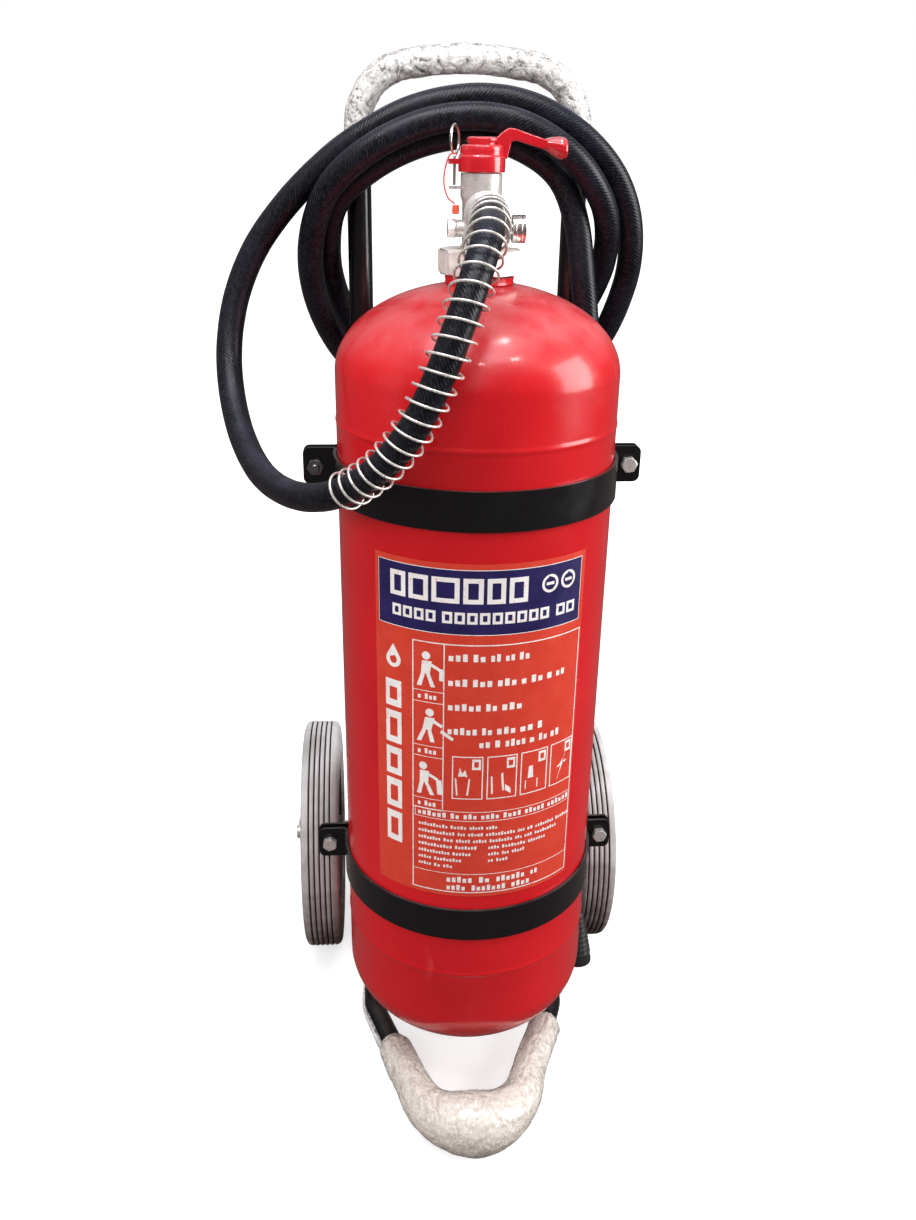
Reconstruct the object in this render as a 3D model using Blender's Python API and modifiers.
"""Wheeled 25 kg powder fire extinguisher: vessel, valve, hose, tube frame and running gear.

Metres, +Z up, the front of the object faces -Y. The pieces are placed about the vessel's axis and
hang from one empty, which moves that axis forward so that the base of the whole object is centred.
"""
import math

import bmesh
import bpy
from mathutils import Matrix, Vector

# ---------------------------------------------------------------- driving dimensions
GAP = 0.0003                    # clearance between touching pieces
AXIS_Y = -0.0670                # vessel axis, in front of the middle of the base

VESSEL_R = 0.1200
VESSEL_WALL = 0.0035
VESSEL_BOTTOM_Z = 0.0500
VESSEL_TOP_Z = 0.7974
BOTTOM_HEAD_H = 0.0747
TOP_HEAD_H = 0.0723
NECK_HOLE_R = 0.0272
SEAM_Z = (0.1800, 0.6850)
SEAM_H = 0.0007
VESSEL_SEGMENTS = 32

TUBE_R = 0.0110                 # frame tube
UPRIGHT_X = 0.0975
UPRIGHT_Y = 0.1255
FOOT_Z = 0.0310
FOOT_BEND_R = 0.0640
HANDLE_TOP_Z = 0.9720
HANDLE_BEND_Z = 0.8950
FOOT_TOP_Z = 0.0960
FOOT_TIP_Y = -0.1580
FOOT_TIP_R = 0.0588
FOOT_WRAP_R = 0.0310            # packing at the foot's tip, thinner on its legs
FOOT_WRAP_LEG_R = 0.0172
FOOT_WRAP_BULK_L = 0.0520       # half length of the thick part
HANDLE_WRAP_R = 0.0128

BAND_HALF_H = 0.0165
BAND_T = 0.0027
BAND_R = 0.1221                 # mid-thickness radius of bands and saddles
BAND_Z = {"lower": 0.2410, "upper": 0.6387}
EAR_Y = {-1: 0.0150, 1: 0.0235}  # front band ear, rear saddle ear
EAR_END_X = 0.1505
EAR_CORNER_R = 0.0060
BOLT_X = 0.1397

AXLE_Y = 0.1900
WHEEL_R = 0.1330
WHEEL_X = 0.1550
TYRE_HALF_W = 0.0210
RIM_R = 0.0940
AXLE_R = 0.0080
AXLE_HALF_L = 0.1885
WHEEL_SEGMENTS = 32

HOSE_R = 0.0115
HOSE_POINTS = 76
GUARD_R = 0.0158
GUARD_WIRE_R = 0.0011
GUARD_TURNS = 24
GUARD_END = 0.310               # distance along the hose where the guard spring stops
OUTLET_Z = 0.8510
OUTLET_Y = -0.0520
PORT_Z = 0.8380                 # gauge and relief ports
PIN_X = -0.0215

# Hose route from the valve outlet: down the front, round the left, twice round the uprights
# (in front of them at the top, behind them at the bottom), then down the right to the nozzle.
HOSE_ROUTE = (
    (0.000, -0.0525, 0.8510), (0.000, -0.068, 0.8508), (-0.005, -0.104, 0.8390),
    (-0.016, -0.132, 0.8130), (-0.028, -0.146, 0.7820), (-0.043, -0.153, 0.7460),
    (-0.062, -0.153, 0.7090), (-0.088, -0.143, 0.6770), (-0.118, -0.121, 0.6540),
    (-0.150, -0.085, 0.6420), (-0.180, -0.035, 0.6440), (-0.202, 0.018, 0.6640),
    (-0.214, 0.060, 0.6970), (-0.216, 0.085, 0.7340), (-0.208, 0.098, 0.7740),
    (-0.190, 0.103, 0.8130), (-0.163, 0.104, 0.8480), (-0.132, 0.102, 0.8780),
    (-0.098, 0.1000, 0.9030), (-0.050, 0.0985, 0.9270), (0.005, 0.098, 0.9370),
    (0.055, 0.0985, 0.9300), (0.100, 0.100, 0.9060), (0.134, 0.107, 0.8700),
    (0.151, 0.118, 0.8250), (0.1505, 0.135, 0.7740), (0.129, 0.152, 0.7180),
    (0.075, 0.163, 0.6740), (0.010, 0.166, 0.6560), (-0.058, 0.163, 0.6690),
    (-0.108, 0.152, 0.7060), (-0.135, 0.128, 0.7550), (-0.142, 0.104, 0.8080),
    (-0.127, 0.084, 0.8580), (-0.094, 0.0750, 0.8910), (-0.045, 0.0745, 0.9150),
    (0.005, 0.0745, 0.9220), (0.050, 0.074, 0.9130), (0.0915, 0.0780, 0.8870),
    (0.1205, 0.0955, 0.8485), (0.1275, 0.119, 0.8050), (0.1175, 0.1490, 0.7600),
    (0.092, 0.175, 0.7150), (0.045, 0.190, 0.6870), (-0.010, 0.192, 0.6800),
    (-0.062, 0.186, 0.6950), (-0.100, 0.172, 0.7280), (-0.121, 0.153, 0.7700),
    (-0.1265, 0.130, 0.8120), (-0.1180, 0.108, 0.8510), (-0.088, 0.0985, 0.8790),
    (-0.045, 0.098, 0.9000), (0.003, 0.099, 0.9080), (0.045, 0.1000, 0.8980),
    (0.0790, 0.1030, 0.8750), (0.0960, 0.0990, 0.8380), (0.103, 0.0920, 0.7930),
    (0.110, 0.089, 0.7400), (0.115, 0.091, 0.6800), (0.1165, 0.091, 0.5800),
    (0.1155, 0.0905, 0.4800), (0.1140, 0.0840, 0.4100), (0.11433, 0.07639, 0.3644),
    (0.11636, 0.07214, 0.32973),
)
NOZZLE_TOP = Vector((0.1181, 0.0685, 0.3000))
NOZZLE_MOUTH = Vector((0.1325, 0.0382, 0.0524))

RED = (0.62, 0.012, 0.020, 1.0)
CAP_RED = (0.66, 0.016, 0.022, 1.0)
BLACK = (0.012, 0.012, 0.014, 1.0)
STEEL = (0.62, 0.61, 0.59, 1.0)
NICKEL = (0.66, 0.64, 0.60, 1.0)
ZINC = (0.70, 0.70, 0.68, 1.0)
RUBBER = (0.018, 0.018, 0.020, 1.0)
TYRE_GREY = (0.30, 0.29, 0.28, 1.0)
FILM = (0.80, 0.78, 0.74, 1.0)


# ---------------------------------------------------------------- scene and materials
def clear_scene():
    for obj in list(bpy.data.objects):
        bpy.data.objects.remove(obj)


def make_collection(name):
    collection = bpy.data.collections.new(name)
    bpy.context.scene.collection.children.link(collection)
    return collection


def make_material(name, color, roughness, metallic=0.0):
    material = bpy.data.materials.new(name)
    material.use_nodes = True
    shader = material.node_tree.nodes["Principled BSDF"]
    shader.inputs["Base Color"].default_value = color
    shader.inputs["Roughness"].default_value = roughness
    shader.inputs["Metallic"].default_value = metallic
    return material


clear_scene()
PARTS = make_collection("wheeled_fire_extinguisher")
CUTTERS = make_collection("cutters")
ASSEMBLY = bpy.data.objects.new("assembly", None)
ASSEMBLY.location = (0.0, AXIS_Y, 0.0)
PARTS.objects.link(ASSEMBLY)


def add_part(name, data, look, location=(0, 0, 0), rotation=(0, 0, 0), parent=None):
    """Link one named sub-part with its own material. look is (colour, roughness, metallic)."""
    obj = bpy.data.objects.new(name, data)
    PARTS.objects.link(obj)
    data.materials.append(make_material(name + "_material", *look))
    obj.location = location
    obj.rotation_euler = rotation
    obj.parent = parent or ASSEMBLY
    return obj


def smooth(obj, angle=35.0):
    obj.data.shade_smooth()
    obj.data.set_sharp_from_angle(angle=math.radians(angle))


# ---------------------------------------------------------------- shape tools
def turned(name, look, profile, closed, segments=24, location=(0, 0, 0), rotation=(0, 0, 0), parent=None):
    """A profile of (radius, height) turned about local Z; it runs down its outer side."""
    mesh = bpy.data.meshes.new(name)
    edges = [(i, i + 1) for i in range(len(profile) - 1)]
    if closed:
        edges.append((len(profile) - 1, 0))
    mesh.from_pydata([(r, 0.0, z) for r, z in profile], edges, [])
    obj = add_part(name, mesh, look, location, rotation, parent)
    screw = obj.modifiers.new("Turn", "SCREW")
    screw.axis = "Z"
    screw.steps = segments
    screw.render_steps = segments
    screw.use_merge_vertices = True
    screw.merge_threshold = 0.00001
    screw.use_smooth_shade = True
    return obj


def tube(name, look, points, radius, resolution=2, parent=None):
    """A round bar or tube along points, with filled ends."""
    curve = bpy.data.curves.new(name, "CURVE")
    curve.dimensions = "3D"
    curve.bevel_depth = radius
    curve.bevel_resolution = resolution
    curve.use_fill_caps = True
    spline = curve.splines.new("POLY")
    spline.points.add(len(points) - 1)
    for slot, point in zip(spline.points, points):
        slot.co = (*point, 1.0)
    return add_part(name, curve, look, parent=parent)


def plate(name, look, outlines, thickness, location=(0, 0, 0), rotation=(0, 0, 0), parent=None):
    """A flat plate in local XY: the first outline is its edge and the others are holes."""
    curve = bpy.data.curves.new(name, "CURVE")
    curve.dimensions = "2D"
    curve.fill_mode = "BOTH"
    curve.extrude = thickness / 2
    for outline in outlines:
        spline = curve.splines.new("POLY")
        spline.use_cyclic_u = True
        spline.points.add(len(outline) - 1)
        for slot, point in zip(spline.points, outline):
            slot.co = (point[0], point[1], 0.0, 1.0)
    return add_part(name, curve, look, location, rotation, parent)


def arc(centre, radius, start, end, steps):
    """Points in the plane from start to end degrees, both included."""
    points = []
    for i in range(steps + 1):
        angle = math.radians(start + (end - start) * i / steps)
        points.append((centre[0] + radius * math.cos(angle), centre[1] + radius * math.sin(angle)))
    return points


def rounded_route(corners, steps=6):
    """Straight runs between corners (point, bend radius), with an arc at each bend."""
    points = [Vector(corners[0][0])]
    for (before, _), (corner, radius), (after, _) in zip(corners, corners[1:], corners[2:]):
        corner = Vector(corner)
        back = (Vector(before) - corner).normalized()
        ahead = (Vector(after) - corner).normalized()
        half = back.angle(ahead) / 2
        centre = corner + (back + ahead).normalized() * radius / math.sin(half)
        start = corner + back * radius / math.tan(half)
        end = corner + ahead * radius / math.tan(half)
        sweep = (start - centre).angle(end - centre)
        axis = (start - centre).cross(end - centre).normalized()
        for i in range(steps + 1):
            turn = Matrix.Rotation(sweep * i / steps, 3, axis)
            points.append(centre + turn @ (start - centre))
    points.append(Vector(corners[-1][0]))
    return points


def smooth_route(points, count):
    """count points, evenly spaced, on a Catmull-Rom curve through the route's points."""
    route = [Vector(p) for p in points]
    route = [route[0] * 2 - route[1]] + route + [route[-1] * 2 - route[-2]]
    fine = []
    for a, b, c, d in zip(route, route[1:], route[2:], route[3:]):
        for i in range(12):
            t = i / 12
            fine.append(0.5 * ((2 * b) + (c - a) * t + (2 * a - 5 * b + 4 * c - d) * t ** 2
                               + (3 * b - a - 3 * c + d) * t ** 3))
    fine.append(route[-2])
    return evenly(fine, count)


def evenly(line, count):
    """count points, evenly spaced, on the same line."""
    lengths = [0.0]
    for p, q in zip(line, line[1:]):
        lengths.append(lengths[-1] + (q - p).length)
    even = []
    j = 0
    for i in range(count):
        target = lengths[-1] * i / (count - 1)
        while j < len(line) - 2 and lengths[j + 1] < target:
            j += 1
        span = lengths[j + 1] - lengths[j]
        even.append(line[j].lerp(line[j + 1], (target - lengths[j]) / span))
    return even


def helix(centre_line, radius, turns, per_turn, start, end):
    """A wire wound round a centre line, between two distances along it."""
    lengths = [0.0]
    for p, q in zip(centre_line, centre_line[1:]):
        lengths.append(lengths[-1] + (q - p).length)
    points = []
    side = Vector((0.0, 0.0, 1.0))
    count = turns * per_turn
    for i in range(count + 1):
        s = start + (end - start) * i / count
        j = 0
        while j < len(lengths) - 2 and lengths[j + 1] < s:
            j += 1
        tangent = (centre_line[j + 1] - centre_line[j]).normalized()
        point = centre_line[j] + tangent * (s - lengths[j])
        side = (side - tangent * side.dot(tangent)).normalized()
        turn = Matrix.Rotation(2 * math.pi * i / per_turn, 3, tangent)
        points.append(point + turn @ side * radius)
    return points


def as_cutter(obj):
    PARTS.objects.unlink(obj)
    CUTTERS.objects.link(obj)
    obj.hide_render = True
    obj.display_type = "WIRE"
    return obj


def combine(base, other, operation):
    """Join another solid to the base, or cut it from it."""
    as_cutter(other)
    boolean = base.modifiers.new(operation.title(), "BOOLEAN")
    boolean.operation = operation
    boolean.solver = "EXACT"
    boolean.object = other
    return base


def rod(name, radius, start, end, vertices=16):
    """A plain cylinder between two points, used to join or cut."""
    start = Vector(start)
    end = Vector(end)
    mesh = bpy.data.meshes.new(name)
    shape = bmesh.new()
    bmesh.ops.create_cone(shape, cap_ends=True, segments=vertices, radius1=radius, radius2=radius,
                          depth=(end - start).length)
    shape.to_mesh(mesh)
    shape.free()
    obj = add_part(name, mesh, (STEEL, 0.4, 1.0))
    obj.rotation_mode = "QUATERNION"
    obj.rotation_quaternion = (end - start).to_track_quat("Z", "Y")
    obj.location = (start + end) / 2
    return obj


def block(name, look, low, high):
    """A box between two corners."""
    low = Vector(low)
    high = Vector(high)
    mesh = bpy.data.meshes.new(name)
    shape = bmesh.new()
    bmesh.ops.create_cube(shape, size=1.0, matrix=Matrix.Diagonal((*(high - low), 1.0)))
    shape.to_mesh(mesh)
    shape.free()
    return add_part(name, mesh, look, (low + high) / 2)


def hexagon(radius):
    return arc((0.0, 0.0), radius, 0.0, 300.0, 5)


# ---------------------------------------------------------------- vessel
def head_curve(radius, height, steps, end_radius=0.0):
    """Points (radius, height above the tangent line) on an elliptical head, from its rim inwards."""
    last = math.acos(end_radius / radius)
    points = []
    for i in range(steps + 1):
        angle = last * i / steps
        points.append((radius * math.cos(angle), height * math.sin(angle)))
    return points


def build_vessel():
    top_line = VESSEL_TOP_Z - TOP_HEAD_H
    bottom_line = VESSEL_BOTTOM_Z + BOTTOM_HEAD_H
    outer = [(r, top_line + h) for r, h in reversed(head_curve(VESSEL_R, TOP_HEAD_H, 7, NECK_HOLE_R))]
    for seam in reversed(SEAM_Z):
        outer += [(VESSEL_R, seam + 0.003), (VESSEL_R + SEAM_H, seam), (VESSEL_R, seam - 0.003)]
    outer += [(r, bottom_line - h) for r, h in head_curve(VESSEL_R, BOTTOM_HEAD_H, 6)]
    inside = VESSEL_R - VESSEL_WALL
    inner = [(r, bottom_line - h) for r, h in
             reversed(head_curve(inside, BOTTOM_HEAD_H - VESSEL_WALL, 4))]
    inner += [(r, top_line + h) for r, h in head_curve(inside, TOP_HEAD_H - VESSEL_WALL, 4, NECK_HOLE_R)]
    turned("cylinder_shell", (RED, 0.30, 0.0), outer + inner, True, VESSEL_SEGMENTS)
    collar = [(0.0285, 0.8020), (0.0285, 0.7960), (0.0268, 0.7957), (0.0268, 0.7860),
              (0.0213, 0.7860), (0.0213, 0.8020)]
    turned("neck_collar", (RED, 0.35, 0.0), collar, True)
    turned("neck_seal", (RUBBER, 0.6, 0.0), [(0.0275, 0.8033), (0.0275, 0.8023), (0.0172, 0.8023),
                                             (0.0172, 0.8033)], True)
    turned("dip_tube", ((0.7, 0.7, 0.68, 1.0), 0.5, 0.0), [(0.0100, 0.7755), (0.0100, 0.0750),
                                                        (0.0075, 0.0750), (0.0075, 0.7755)], True, 16)
    powder_r = inside - 0.0015
    powder = [(powder_r, 0.600), (powder_r, bottom_line)]
    powder += [(r, bottom_line - h) for r, h in head_curve(powder_r, BOTTOM_HEAD_H - 0.0060, 4, 0.0110)][1:]
    powder.append((0.0110, 0.600))
    turned("powder_charge", ((0.75, 0.80, 0.86, 1.0), 0.95, 0.0), powder, True, 24)


def build_label():
    inner = VESSEL_R + 0.0006
    outer = inner + 0.0004
    low = 0.2720
    high = 0.5950
    steps = 14
    edge = arc((0.0, 0.0), outer, -137.5, -45.0, steps)
    edge += arc((0.0, 0.0), inner, -45.0, -137.5, steps)
    plate("label", ((0.80, 0.05, 0.02, 1.0), 0.45, 0.0), [edge], high - low, (0, 0, (low + high) / 2))


# ---------------------------------------------------------------- valve
def build_valve():
    body = turned("valve_body", (NICKEL, 0.30, 1.0),
                  [(0.0, 0.8795), (0.0165, 0.8795), (0.0165, 0.8610), (0.0148, 0.8580), (0.0148, 0.8260),
                   (0.0168, 0.8240), (0.0168, 0.8031), (0.0168, 0.8019), (0.0208, 0.8017), (0.0208, 0.7720),
                   (0.0, 0.7720)], False, 20)
    combine(body, rod("outlet_boss", 0.0100, (0, 0, OUTLET_Z), (0, -0.0240, OUTLET_Z)), "UNION")
    combine(body, rod("gauge_boss", 0.0062, (0, 0, PORT_Z), (0.0200, 0, PORT_Z), 12), "UNION")
    combine(body, rod("relief_boss", 0.0064, (0, 0, PORT_Z), (-0.0200, 0, PORT_Z), 12), "UNION")
    pin_plate = block("pin_plate", (NICKEL, 0.3, 1.0), (-0.0260, -0.0045, 0.8675), (-0.0100, 0.0045, 0.8695))
    combine(body, pin_plate, "UNION")
    combine(body, turned("stem_bore", (STEEL, 0.4, 1.0),
                         [(0.0, 0.9000), (0.0044, 0.9000), (0.0044, 0.8610), (0.0066, 0.8605),
                          (0.0066, 0.8280), (0.0110, 0.8280), (0.0110, 0.7600), (0.0, 0.7600)],
                         False, 14), "DIFFERENCE")
    combine(body, rod("outlet_bore", 0.0060, (0, 0, OUTLET_Z), (0, -0.0300, OUTLET_Z), 12), "DIFFERENCE")
    combine(body, rod("pin_plate_hole", 0.0016, (PIN_X, 0, 0.8600), (PIN_X, 0, 0.8720), 8), "DIFFERENCE")

    plate("neck_nut", (NICKEL, 0.35, 1.0), [hexagon(0.0355), arc((0, 0), 0.0178, 0, 330, 11)], 0.0188,
          (0, 0, 0.8130), (0, 0, math.radians(12)))

    fitting = [(0.0122, 0.0277), (0.0130, 0.0265), (0.0130, 0.0100), (0.0120, 0.0090), (0.0120, 0.0),
               (0.0060, 0.0), (0.0060, 0.0277)]
    turned("outlet_fitting", (STEEL, 0.35, 1.0), fitting, True, 16, (0, -0.0243, OUTLET_Z),
           (math.radians(90), 0, 0))

    plug = [(0.0, 0.0062), (0.0068, 0.0062), (0.0078, 0.0050), (0.0078, 0.0), (0.0, 0.0)]
    turned("relief_plug", (NICKEL, 0.3, 1.0), plug, False, 12, (-0.0203, 0, PORT_Z),
           (0, math.radians(-90), 0))

    stem = [(0.0, 0.8870), (0.0040, 0.8870), (0.0040, 0.8245), (0.0090, 0.8243), (0.0090, 0.8200),
            (0.0, 0.8200)]
    turned("valve_stem", (STEEL, 0.3, 1.0), stem, False, 12)
    turned("stem_seal", (RUBBER, 0.6, 0.0), [(0.0086, 0.8276), (0.0086, 0.8248), (0.0043, 0.8248),
                                             (0.0043, 0.8276)], True, 12)
    wire = 0.0008
    axis_line = [Vector((0, 0, 0.7755 + GAP + wire)), Vector((0, 0, 0.8200 - GAP - wire))]
    tube("valve_spring", (STEEL, 0.3, 1.0), helix_up(axis_line, 0.0086, 7, 8), wire, 0)


def helix_up(axis_line, radius, turns, per_turn):
    low, high = axis_line
    return [low.lerp(high, i / (turns * per_turn))
            + radius * Vector((math.cos(2 * math.pi * i / per_turn), math.sin(2 * math.pi * i / per_turn), 0))
            for i in range(turns * per_turn + 1)]


def build_valve_handle():
    """The red cap, its pin lug and its lever are one casting that turns on the valve."""
    handle = turned("valve_handle", (CAP_RED, 0.35, 0.0),
                    [(0.0, 0.9052), (0.0098, 0.9052), (0.0106, 0.9040), (0.0106, 0.9000), (0.0160, 0.8985),
                     (0.0172, 0.8970), (0.0172, 0.8915), (0.0186, 0.8900), (0.0186, 0.8798), (0.0, 0.8798)],
                    False, 24)
    arm = [(0.0120, 0.8850), (0.0200, 0.8905), (0.0235, 0.9030), (0.0470, 0.8965), (0.0560, 0.8930),
           (0.0640, 0.8920), (0.0665, 0.8980), (0.0640, 0.9030), (0.0560, 0.9040), (0.0470, 0.9030),
           (0.0230, 0.9115), (0.0165, 0.9100), (0.0090, 0.9000)]
    lever = plate("lever_arm", (CAP_RED, 0.35, 0.0), [arm], 0.0120, (0, 0, 0), (math.radians(90), 0, 0))
    combine(handle, curve_to_mesh(lever), "UNION")
    combine(handle, flared_end(), "UNION")
    lug = block("pin_lug", (CAP_RED, 0.3, 0.0), (-0.0265, -0.0050, 0.8855), (-0.0120, 0.0050, 0.8895))
    combine(handle, lug, "UNION")
    combine(handle, rod("pin_lug_hole", 0.0016, (PIN_X, 0, 0.8800), (PIN_X, 0, 0.8950), 8), "DIFFERENCE")
    combine(handle, rod("stem_pocket", 0.0046, (0, 0, 0.8700), (0, 0, 0.8885), 12), "DIFFERENCE")


def flared_end():
    mesh = bpy.data.meshes.new("lever_end")
    shape = bmesh.new()
    bmesh.ops.create_uvsphere(shape, u_segments=12, v_segments=8, radius=1.0,
                              matrix=Matrix.Diagonal((0.0095, 0.0098, 0.0072, 1.0)))
    shape.to_mesh(mesh)
    shape.free()
    return add_part("lever_end", mesh, (CAP_RED, 0.35, 0.0), (0.0590, 0, 0.8985))


def curve_to_mesh(obj):
    """Replace a curve object by a welded mesh object, so that it can be joined to another piece."""
    bpy.context.view_layer.update()
    evaluated = obj.evaluated_get(bpy.context.evaluated_depsgraph_get())
    mesh = bpy.data.meshes.new_from_object(evaluated)
    shape = bmesh.new()
    shape.from_mesh(mesh)
    bmesh.ops.remove_doubles(shape, verts=shape.verts, dist=0.000001)
    bmesh.ops.recalc_face_normals(shape, faces=shape.faces)
    shape.to_mesh(mesh)
    shape.free()
    name = obj.name
    location = obj.location.copy()
    rotation = obj.rotation_euler.copy()
    material = obj.data.materials[0]
    bpy.data.objects.remove(obj)
    solid = bpy.data.objects.new(name, mesh)
    PARTS.objects.link(solid)
    mesh.materials.clear()
    mesh.materials.append(material)
    solid.parent = ASSEMBLY
    solid.location = location
    solid.rotation_euler = rotation
    return solid


def build_pin_and_seal():
    """Safety pin: a straight wire that ends in a ring; the tie and tag of the tamper seal hang on it."""
    ring_r = 0.0105
    ring_z = 0.9035
    turn = math.radians(22)
    pin = [Vector((PIN_X, 0, 0.8702)), Vector((PIN_X, 0, 0.8800)), Vector((PIN_X, 0, 0.8905))]
    for i in range(15):
        angle = math.radians(-90 + 22 * i + 11)
        across = ring_r * math.cos(angle)
        height = ring_z + ring_r * math.sin(angle)
        pin.append(Vector((PIN_X + across * math.sin(turn), across * math.cos(turn), height)))
    tube("safety_pin", (STEEL, 0.25, 1.0), pin, 0.0011, 1)
    tie = [(-0.0215, -0.0075, 0.8925), (-0.0268, -0.0075, 0.8900), (-0.0298, -0.0075, 0.8800),
           (-0.0300, -0.0075, 0.8700), (-0.0265, -0.0075, 0.8610), (-0.0214, -0.0075, 0.8568)]
    tube("seal_tie", (CAP_RED, 0.4, 0.0), smooth_route(tie, 14), 0.0007, 1)
    block("seal_tag", ((0.80, 0.25, 0.12, 1.0), 0.5, 0.0), (-0.0232, -0.0088, 0.8490),
          (-0.0182, -0.0060, 0.8560))


def build_gauge():
    """Pressure gauge on the right port: its dial faces +X."""
    turn = (0, math.radians(90), 0)
    at = (0.0, 0.0, PORT_Z)
    case = [(0.0108, 0.0361), (0.0108, 0.0262), (0.0100, 0.0255), (0.0048, 0.0253), (0.0048, 0.0203),
            (0.0, 0.0203), (0.0, 0.0290), (0.0092, 0.0290), (0.0092, 0.0361)]
    turned("gauge_case", (STEEL, 0.2, 1.0), case, True, 20, at, turn)
    lens = [(0.0, 0.0355), (0.0088, 0.0355), (0.0088, 0.0345), (0.0, 0.0345)]
    turned("gauge_lens", ((0.9, 0.95, 0.95, 0.3), 0.1, 0.0), lens, False, 20, at, turn)
    needle = [(-0.0006, -0.0022), (0.0006, -0.0022), (0.0009, 0.0), (0.0002, 0.0074), (-0.0002, 0.0074),
              (-0.0009, 0.0)]
    plate("gauge_needle", (BLACK, 0.5, 0.0), [needle], 0.0007, (0.0320, 0.0, PORT_Z),
          (math.radians(90), 0, math.radians(90)))


# ---------------------------------------------------------------- hose
def build_hose():
    line = [Vector(HOSE_ROUTE[0])] + smooth_route(HOSE_ROUTE[1:-1], HOSE_POINTS) + [Vector(HOSE_ROUTE[-1])]
    tube("hose", (RUBBER, 0.45, 0.0), line, HOSE_R, 2)
    guard_line = smooth_route(((0.0, OUTLET_Y + 0.016, OUTLET_Z),) + HOSE_ROUTE[1:11], 90)
    guard = helix(guard_line, GUARD_R, GUARD_TURNS, 9, 0.0, GUARD_END)
    tube("hose_guard_spring", (STEEL, 0.25, 1.0), guard, GUARD_WIRE_R, 0)

    down = (NOZZLE_MOUTH - NOZZLE_TOP).normalized()
    tilt = down.to_track_quat("-Z", "Y").to_euler()
    hose_end = Vector(HOSE_ROUTE[-1])
    ferrule_l = (NOZZLE_TOP - hose_end).length - 2 * GAP
    ferrule_dir = (NOZZLE_TOP - hose_end).normalized()
    ferrule = [(0.0, 0.0), (0.0120, 0.0), (0.0135, -0.0015), (0.0135, 0.0015 - ferrule_l),
               (0.0110, -ferrule_l), (0.0, -ferrule_l)]
    turned("hose_ferrule", (STEEL, 0.35, 1.0), ferrule, False, 16, hose_end + ferrule_dir * GAP,
           ferrule_dir.to_track_quat("-Z", "Y").to_euler())
    length = (NOZZLE_MOUTH - NOZZLE_TOP).length
    nozzle = [(0.0078, 0.0), (0.0085, -0.0007), (0.0085, -0.0143), (0.0081, -0.0152), (0.0068, -0.0170),
              (0.0068, 0.0620 - length)]
    for i in range(9):
        low = 0.0560 - 0.0056 * i - length
        rib_r = 0.0084 + 0.0060 * i / 8
        nozzle += [(rib_r, low + 0.0038), (rib_r + 0.0008, low + 0.0019), (rib_r, low)]
    nozzle += [(0.0150, 0.0060 - length), (0.0153, 0.0050 - length), (0.0153, 0.0004 - length),
               (0.0149, -length), (0.0135, -length), (0.0131, 0.0006 - length), (0.0090, 0.0300 - length),
               (0.0045, 0.0560 - length), (0.0045, 0.0)]
    turned("discharge_nozzle", (BLACK, 0.5, 0.0), nozzle, True, 20, NOZZLE_TOP, tilt)

    clip_z = 0.2100
    share = (NOZZLE_TOP.z - clip_z) / (NOZZLE_TOP.z - NOZZLE_MOUTH.z)
    centre = NOZZLE_TOP.lerp(NOZZLE_MOUTH, share)
    start = Vector((UPRIGHT_X, UPRIGHT_Y - TUBE_R - GAP, clip_z))
    reach = start - centre
    clip_r = 0.0110
    first = math.degrees(math.atan2(reach.y, reach.x)) - math.degrees(math.acos(clip_r / reach.length))
    clip = [start, start - Vector((0, 0.0060, 0))]
    clip += [Vector((x, y, clip_z)) for x, y in arc(centre, clip_r, first, first - 250, 12)]
    tube("nozzle_clip", (BLACK, 0.4, 0.0), clip, 0.0024, 1)


# ---------------------------------------------------------------- frame
def foot_route():
    """The foot's centre line from the top of its left leg to the top of its right leg."""
    tip_y = FOOT_TIP_Y + FOOT_TIP_R
    spread = math.degrees(foot_leg_angle())
    tip = [Vector((x, y, FOOT_Z)) for x, y in arc((0.0, tip_y), FOOT_TIP_R, -spread, -180 + spread, 10)]
    right = rounded_route([((UPRIGHT_X, UPRIGHT_Y, FOOT_TOP_Z), 0.0),
                           ((UPRIGHT_X, UPRIGHT_Y, FOOT_Z), FOOT_BEND_R),
                           ((UPRIGHT_X, 0.0, FOOT_Z), 0.060), (tip[0], 0.0)], 5)
    left = [Vector((-p.x, p.y, p.z)) for p in reversed(right)]
    return right + tip[1:-1] + left


def foot_leg_angle():
    """The angle of the tip's arc at which a line from the leg's bend touches it."""
    tip_y = FOOT_TIP_Y + FOOT_TIP_R
    reach = math.hypot(UPRIGHT_X, -tip_y)
    return math.acos(FOOT_TIP_R / reach) - math.atan2(-tip_y, UPRIGHT_X)


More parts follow.
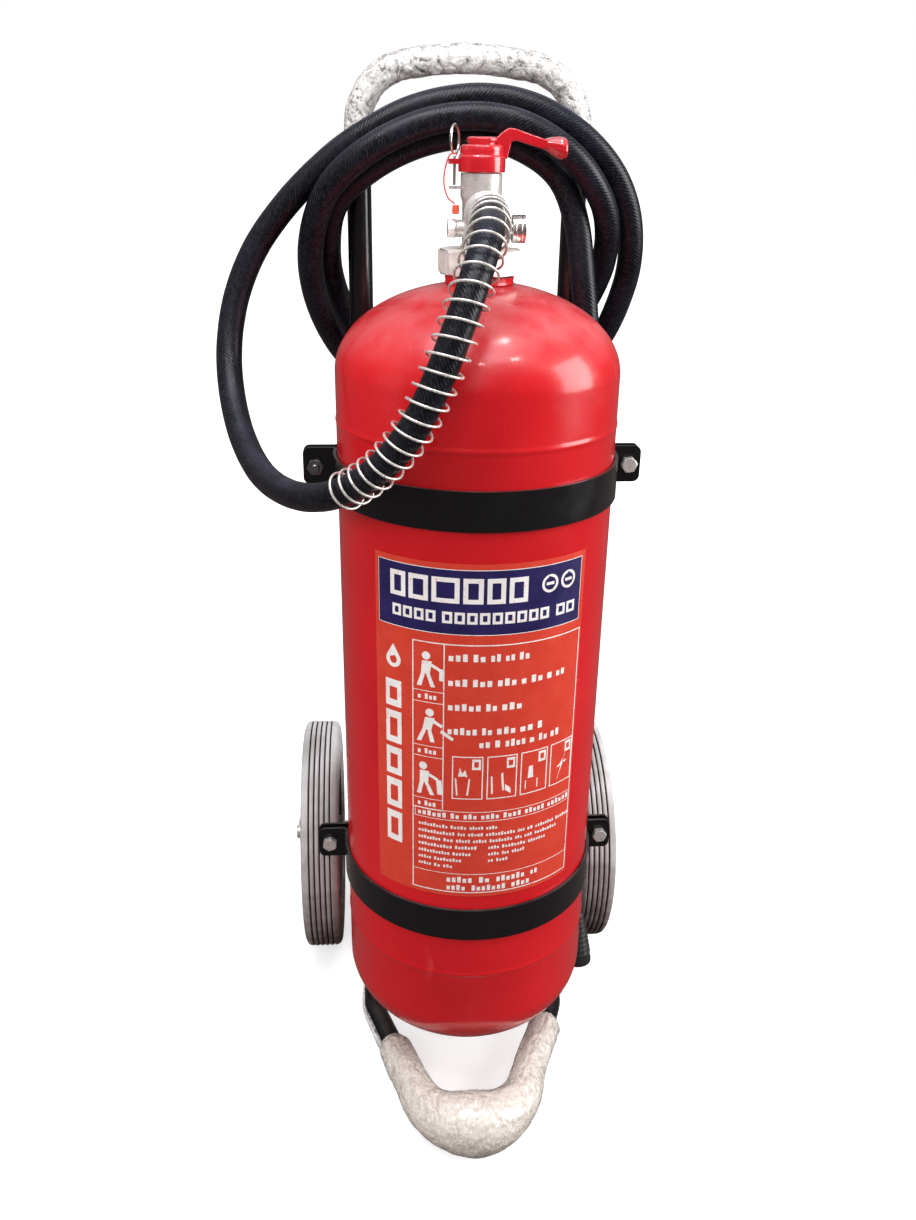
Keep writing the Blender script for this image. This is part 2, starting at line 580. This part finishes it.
def build_frame():
    paint = (BLACK, 0.25, 0.0)
    arch = rounded_route([((-UPRIGHT_X, UPRIGHT_Y, HANDLE_BEND_Z), 0.0),
                          ((-UPRIGHT_X, UPRIGHT_Y, 0.9560), 0.050),
                          ((0.0, UPRIGHT_Y, HANDLE_TOP_Z), 0.30),
                          ((UPRIGHT_X, UPRIGHT_Y, 0.9560), 0.050),
                          ((UPRIGHT_X, UPRIGHT_Y, HANDLE_BEND_Z), 0.0)], 6)
    tube("handle_arch", paint, arch, TUBE_R)
    for side, name in ((-1, "left"), (1, "right")):
        x = side * UPRIGHT_X
        ends = [(x, UPRIGHT_Y, HANDLE_BEND_Z - GAP), (x, UPRIGHT_Y, FOOT_TOP_Z + GAP)]
        tube(name + "_upright", paint, ends, TUBE_R)
        hook = rounded_route([((x, UPRIGHT_Y + TUBE_R + GAP, 0.6620), 0.0), ((x, 0.2150, 0.6620), 0.008),
                              ((x, 0.2150, 0.7000), 0.0)], 3)
        tube(name + "_hose_hook", paint, hook, 0.0040, 1)
    tube("foot_loop", paint, foot_route(), TUBE_R)
    grip = arch[3:-3]
    wrap("handle_wrap", grip, TUBE_R + 1.5 * GAP, [HANDLE_WRAP_R] * len(grip))
    lie = evenly(foot_route(), 53)
    tip = lie[26]
    radii = []
    for k in range(len(lie)):
        along = (k - 26) * (lie[27] - tip).length
        bulk = math.exp(-(along / FOOT_WRAP_BULK_L) ** 2)
        radii.append(FOOT_WRAP_LEG_R + (FOOT_WRAP_R - FOOT_WRAP_LEG_R) * bulk)
    wrap("foot_wrap", lie[14:-15], TUBE_R + 2.5 * GAP, radii[14:-15])
    inner_x = UPRIGHT_X - TUBE_R - GAP
    bar_y = BAND_R + BAND_T / 2 + GAP
    for level, z in BAND_Z.items():
        block(level + "_cross_bar", paint, (-inner_x, bar_y, z - 0.0150),
              (inner_x, bar_y + 0.0040, z + 0.0150))


def wrap(name, points, inner, outers):
    """Packing film wound on a tube: a sleeve along the tube's centre line, open at both ends.

    outers has the sleeve's outer radius at each point.
    """
    sides = 12
    vertices = []
    side = Vector((0.0, 1.0, 0.0))
    for before, here, after, outer in zip([points[0]] + points, points, points[1:] + [points[-1]], outers):
        tangent = (after - before).normalized()
        side = (side - tangent * side.dot(tangent)).normalized()
        up = tangent.cross(side)
        for radius in (outer, inner / math.cos(math.pi / sides)):
            for i in range(sides):
                angle = 2 * math.pi * i / sides
                vertices.append(here + side * radius * math.cos(angle) + up * radius * math.sin(angle))
    ring = 2 * sides
    last = ring * (len(points) - 1)
    faces = []
    for i in range(sides):
        j = (i + 1) % sides
        faces.append((j, i, i + sides, j + sides))
        faces.append((last + i, last + j, last + j + sides, last + i + sides))
        for k in range(0, last, ring):
            faces.append((k + i, k + j, k + ring + j, k + ring + i))
            faces.append((k + sides + j, k + sides + i, k + ring + sides + i, k + ring + sides + j))
    mesh = bpy.data.meshes.new(name)
    mesh.from_pydata(vertices, [], faces)
    return add_part(name, mesh, (FILM, 0.35, 0.0))


def band_route(side):
    """Centre line of a band from ear to ear, seen from above; side is -1 for the front, 1 for the rear."""
    bend = 0.0045
    ear_y = EAR_Y[side]
    first = math.degrees(math.asin(side * (ear_y + side * bend) / BAND_R))
    around = [(x, side * y) for x, y in arc((0, 0), BAND_R, 180.0 - first, first, 20)]
    corner_x = around[-1][0] + bend
    corner = arc((corner_x, ear_y + side * bend), bend, 180.0, 180.0 + side * 90.0, 4)[1:]
    ear = [(EAR_END_X - EAR_CORNER_R, ear_y)]
    for angle in (30, 60, 80, 90):
        ear.append((EAR_END_X - EAR_CORNER_R * (1 - math.sin(math.radians(angle))), ear_y))
    right = corner + ear
    left = [(-x, y) for x, y in reversed(right)]
    return left + around + right


def ear_half_height(x):
    """Half the height of the strip, which rounds off at the outer corners of its ears."""
    past = abs(x) - (EAR_END_X - EAR_CORNER_R)
    if past <= 0:
        return BAND_HALF_H
    return BAND_HALF_H - EAR_CORNER_R + math.sqrt(max(EAR_CORNER_R ** 2 - past ** 2, 0.0))


def build_band(name, side, z):
    route = band_route(side)
    vertices = []
    for x, y in route:
        half = ear_half_height(x)
        vertices += [(x, y, z - half), (x, y, z + half)]
    faces = [(2 * i, 2 * i + 2, 2 * i + 3, 2 * i + 1) for i in range(len(route) - 1)]
    mesh = bpy.data.meshes.new(name)
    mesh.from_pydata(vertices, [], faces)
    band = add_part(name, mesh, (BLACK, 0.3, 0.0))
    shell = band.modifiers.new("Strip", "SOLIDIFY")
    shell.thickness = BAND_T
    shell.offset = 0.0
    shell.use_even_offset = True
    for x in (-BOLT_X, BOLT_X):
        y = EAR_Y[side]
        hole = rod(name + "_bolt_hole", 0.0046, (x, y - 0.006, z), (x, y + 0.006, z), 12)
        combine(band, hole, "DIFFERENCE")


def build_fastener(name, x, z, nut_in_front):
    """One clamp bolt along Y with its nut; the upper left one is fitted from behind."""
    half_t = BAND_T / 2 + GAP
    front = EAR_Y[-1] - half_t
    rear = EAR_Y[1] + half_t
    face, far, out = (rear, front, 1) if nut_in_front else (front, rear, -1)
    head = plate(name + "_bolt", (ZINC, 0.3, 1.0), [hexagon(0.0075)], 0.0055, (x, face + out * 0.00275, z),
                 (math.radians(90), 0, 0))
    head = curve_to_mesh(head)
    shank = rod(name + "_shank", 0.0037, (x, face + out * 0.002, z), (x, far - out * 0.0105, z), 10)
    combine(head, shank, "UNION")
    plate(name + "_nut", (ZINC, 0.3, 1.0), [hexagon(0.0075), arc((0, 0), 0.0042, 0, 324, 9)], 0.0065,
          (x, far - out * 0.00325, z), (math.radians(90), 0, 0))


def build_clamps():
    for level, z in BAND_Z.items():
        build_band(level + "_front_band", -1, z)
        build_band(level + "_rear_saddle", 1, z)
        for side, x in (("left", -BOLT_X), ("right", BOLT_X)):
            build_fastener(level + "_" + side, x, z, level == "upper" and side == "left")


# ---------------------------------------------------------------- running gear
def build_running_gear():
    across = (0, math.radians(90), 0)
    axle = rod("axle", AXLE_R, (-AXLE_HALF_L, AXLE_Y, WHEEL_R), (AXLE_HALF_L, AXLE_Y, WHEEL_R), 16)
    for side, name in ((-1, "left"), (1, "right")):
        pin_x = side * 0.1842
        combine(axle, rod(name + "_cotter_hole", 0.0019, (pin_x, AXLE_Y, WHEEL_R - 0.02),
                          (pin_x, AXLE_Y, WHEEL_R + 0.02), 8), "DIFFERENCE")
        tube(name + "_cotter_pin", (ZINC, 0.3, 1.0), [(pin_x, AXLE_Y, WHEEL_R - 0.0150),
                                                    (pin_x, AXLE_Y, WHEEL_R + 0.0130)], 0.0014, 1)
        bracket_x = side * UPRIGHT_X
        back = UPRIGHT_Y + TUBE_R + GAP
        edge = [(back, 0.1050)] + arc((AXLE_Y, WHEEL_R), 0.0180, -100, 100, 8) + [(back, 0.1750)]
        plate(name + "_axle_bracket", (BLACK, 0.3, 0.0),
              [edge, arc((AXLE_Y, WHEEL_R), AXLE_R + 0.0004, 0, 337.5, 15)], 0.0050,
              (bracket_x, 0, 0), (math.radians(90), 0, math.radians(90)))
        inner = WHEEL_X - 0.0232 - GAP
        spacer_l = inner - (UPRIGHT_X + 0.0025 + GAP)
        spacer = [(0.0115, spacer_l), (0.0115, 0.0), (0.0084, 0.0), (0.0084, spacer_l)]
        spacer_x = UPRIGHT_X + 0.0025 + GAP if side > 0 else -inner
        turned(name + "_spacer", (ZINC, 0.4, 1.0), spacer, True, 16, (spacer_x, AXLE_Y, WHEEL_R), across)
        build_wheel(name, side)


def build_wheel(name, side):
    """A wheel turned about X at its own centre, with a flat of the tyre on the floor."""
    centre = bpy.data.objects.new(name + "_wheel_centre", None)
    PARTS.objects.link(centre)
    centre.parent = ASSEMBLY
    centre.location = (side * WHEEL_X, AXLE_Y, WHEEL_R)
    centre.rotation_euler = (0, math.radians(90), 0)
    phase = (0, 0, math.radians(180 / WHEEL_SEGMENTS))
    flat = 1 / math.cos(math.pi / WHEEL_SEGMENTS)
    tread = WHEEL_R * flat
    bed = RIM_R + GAP
    tyre = [(tread, 0.0130), (tread, -0.0130), (tread - 0.0020, -0.0185), (tread - 0.0065, -TYRE_HALF_W),
            (bed + 0.0060, -TYRE_HALF_W), (bed, -0.0180), (bed, 0.0180), (bed + 0.0060, TYRE_HALF_W),
            (tread - 0.0065, TYRE_HALF_W), (tread - 0.0020, 0.0185)]
    rim = [(RIM_R, 0.0180), (RIM_R, -0.0180), (0.0870, -0.0180), (0.0850, -0.0035), (0.0200, -0.0035),
           (0.0180, -0.0230), (0.0115, -0.0230), (0.0115, 0.0230), (0.0180, 0.0230), (0.0200, 0.0035),
           (0.0850, 0.0035), (0.0870, 0.0180)]
    bush = [(0.0112, 0.0232), (0.0112, -0.0232), (0.0084, -0.0232), (0.0084, 0.0232)]
    turned(name + "_tyre", (TYRE_GREY, 0.8, 0.0), tyre, True, WHEEL_SEGMENTS, rotation=phase, parent=centre)
    turned(name + "_rim", (BLACK, 0.4, 0.0), rim, True, WHEEL_SEGMENTS, rotation=phase, parent=centre)
    turned(name + "_bush", ((0.7, 0.68, 0.6, 1.0), 0.5, 0.0), bush, True, 16, parent=centre)


def main():
    build_vessel()
    build_label()
    build_valve()
    build_valve_handle()
    build_pin_and_seal()
    build_gauge()
    build_hose()
    build_frame()
    build_clamps()
    build_running_gear()
    for obj in PARTS.objects:
        if obj.type == "MESH" and not obj.modifiers:
            smooth(obj)


main()
